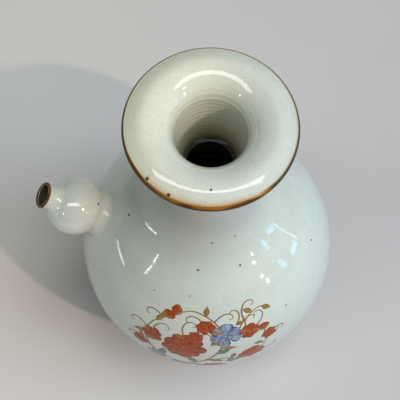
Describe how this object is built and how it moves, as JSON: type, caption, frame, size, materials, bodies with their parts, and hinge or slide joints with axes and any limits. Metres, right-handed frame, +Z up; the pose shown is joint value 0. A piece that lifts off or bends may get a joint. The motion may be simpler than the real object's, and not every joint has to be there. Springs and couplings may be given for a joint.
{
  "type": "kendi",
  "caption": "Globular glazed porcelain pouring vessel: a tall neck with a wide flared mouth to fill it, and a bulbous side spout to pour from, luted from thrown sections.",
  "frame": {"origin": "middle of the foot ring's resting face, on the vessel's axis", "axes": "+Z up along the vessel's axis, -X towards the spout"},
  "size_m": [0.1492, 0.13, 0.2129],
  "materials": {
    "glaze": "glossy clear glaze on white porcelain",
    "slip": "glossy, a smoothed seam under the glaze",
    "biscuit": "matt, unglazed where it meets the table",
    "iron_dressing": "semi-gloss brown iron wash",
    "enamel_red": "satin overglaze enamel",
    "enamel_gold": "satin overglaze gilding",
    "enamel_blue": "glossy overglaze enamel",
    "enamel_green": "glossy overglaze enamel"
  },
  "bodies": {
    "root": {"foot_ring": "biscuit", "foot_slip": "slip", "lower_body": "glaze", "belly_slip": "slip", "upper_body": "glaze", "neck_slip": "slip", "neck": "glaze", "mouth_slip": "slip", "mouth": "glaze", "rim_dressing": "iron_dressing", "spout_bulb": "glaze", "spout_slip": "slip", "spout_nozzle": "glaze", "nozzle_slip": "slip", "tip_dressing": "iron_dressing"}
  },
  "joints": []
}
